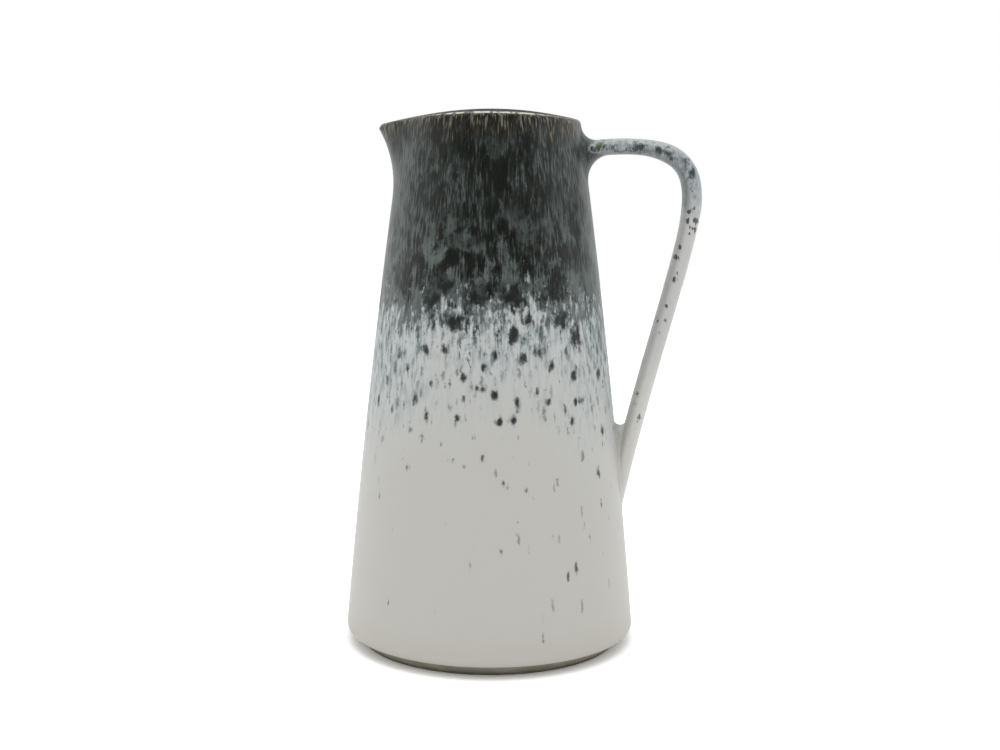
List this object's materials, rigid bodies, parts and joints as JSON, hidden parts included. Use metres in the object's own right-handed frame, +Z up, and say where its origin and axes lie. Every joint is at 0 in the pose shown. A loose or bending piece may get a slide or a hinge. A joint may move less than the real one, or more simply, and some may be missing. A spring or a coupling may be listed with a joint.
{
  "type": "jug",
  "caption": "Tapering stoneware pouring jug with an arched mouth, a pulled pouring lip, a luted strap handle and a reactive glaze over a bare turned foot.",
  "frame": {"origin": "middle of the foot ring, on the plane that the jug stands on", "axes": "+Z up along the axis of the body, +X towards the handle, -X towards the pouring lip"},
  "size_m": [0.1661, 0.1364, 0.251],
  "materials": {
    "bare_stoneware": "unglazed fired stoneware, turned and sponged, matt",
    "handle_clay": "fired stoneware under the glaze",
    "upper_joint_glaze": "satin blue-grey reactive glaze over a slip fillet",
    "lower_joint_glaze": "satin off-white glaze over a slip fillet",
    "white_glaze": "satin warm off-white glaze with fine dark flecks that thin out downwards",
    "dark_glaze": "satin charcoal and blue-grey reactive glaze, streaked down the wall and brown at the mouth",
    "liner_glaze": "satin off-white glaze inside",
    "handle_glaze": "satin off-white glaze with grey-blue mottling and dark blots"
  },
  "bodies": {
    "root": {"body": "bare_stoneware", "handle": "handle_clay", "upper_slip_joint": "upper_joint_glaze", "lower_slip_joint": "lower_joint_glaze", "white_glaze": "white_glaze", "dark_glaze": "dark_glaze", "liner_glaze": "liner_glaze", "handle_glaze": "handle_glaze"}
  },
  "joints": []
}
